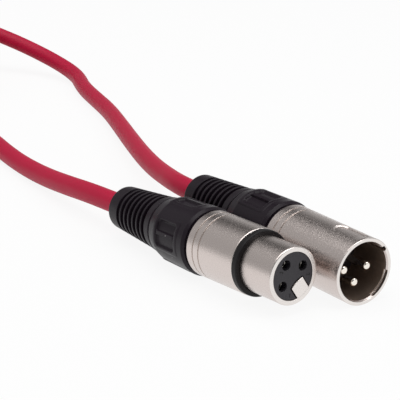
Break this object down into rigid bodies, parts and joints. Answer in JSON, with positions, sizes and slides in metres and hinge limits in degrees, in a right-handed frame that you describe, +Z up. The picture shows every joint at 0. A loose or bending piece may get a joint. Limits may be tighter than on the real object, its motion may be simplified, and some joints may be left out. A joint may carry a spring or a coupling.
{
  "type": "microphone cable",
  "caption": "Balanced audio cable with keyed round locking plugs side by side, ribbed black boots and a crimson jacket, most of its length in a tied coil.",
  "frame": {"origin": "on the table, below the middle of the box round the two connectors", "axes": "+X the way the connectors point, their longest side; +Z up from the table"},
  "size_m": [0.3551, 0.1317, 0.0308],
  "materials": {
    "nickel_shell": "satin nickel plate",
    "rubber_ring": "smooth black",
    "insulator": "fine matt, near black",
    "contact_metal": "silver plate",
    "steel": "bright",
    "boot_plastic": "satin black",
    "gland_plastic": "satin black",
    "chuck_plastic": "natural",
    "jacket": "satin crimson",
    "shield_core": "grey sleeve",
    "hot_core": "red insulation",
    "cold_core": "white insulation",
    "strap": "woven black strap"
  },
  "bodies": {
    "cable": {"female_shell": "nickel_shell", "female_ring": "rubber_ring", "female_insert": "insulator", "female_contact_1": "contact_metal", "female_contact_2": "contact_metal", "female_contact_3": "contact_metal", "female_latch_pin": "steel", "female_latch_spring": "steel", "female_wire_1": "shield_core", "female_wire_2": "hot_core", "female_wire_3": "cold_core", "female_cable_end": "jacket", "female_chuck": "chuck_plastic", "female_boot_body": "boot_plastic", "female_boot_gland": "gland_plastic", "male_shell": "nickel_shell", "male_insert": "insulator", "male_pin_1": "contact_metal", "male_pin_2": "contact_metal", "male_pin_3": "contact_metal", "male_wire_1": "shield_core", "male_wire_2": "hot_core", "male_wire_3": "cold_core", "male_cable_end": "jacket", "male_chuck": "chuck_plastic", "male_boot_body": "boot_plastic", "male_boot_gland": "gland_plastic", "cable_female_stretch": "jacket", "cable_male_stretch": "jacket", "cable_coil": "jacket", "coil_tie": "strap"},
    "latch": {"female_latch": "nickel_shell"}
  },
  "joints": [
    {"name": "latch_press", "type": "hinge", "parent": "cable", "child": "latch", "pos_m": [0.00984, -0.00714, 0.00539], "axis": [0.0143, -0.8387, -0.5445], "range_deg": [0, 3.5], "stiffness_Nm_per_rad": 0.3, "springref_deg": -6.88}
  ]
}
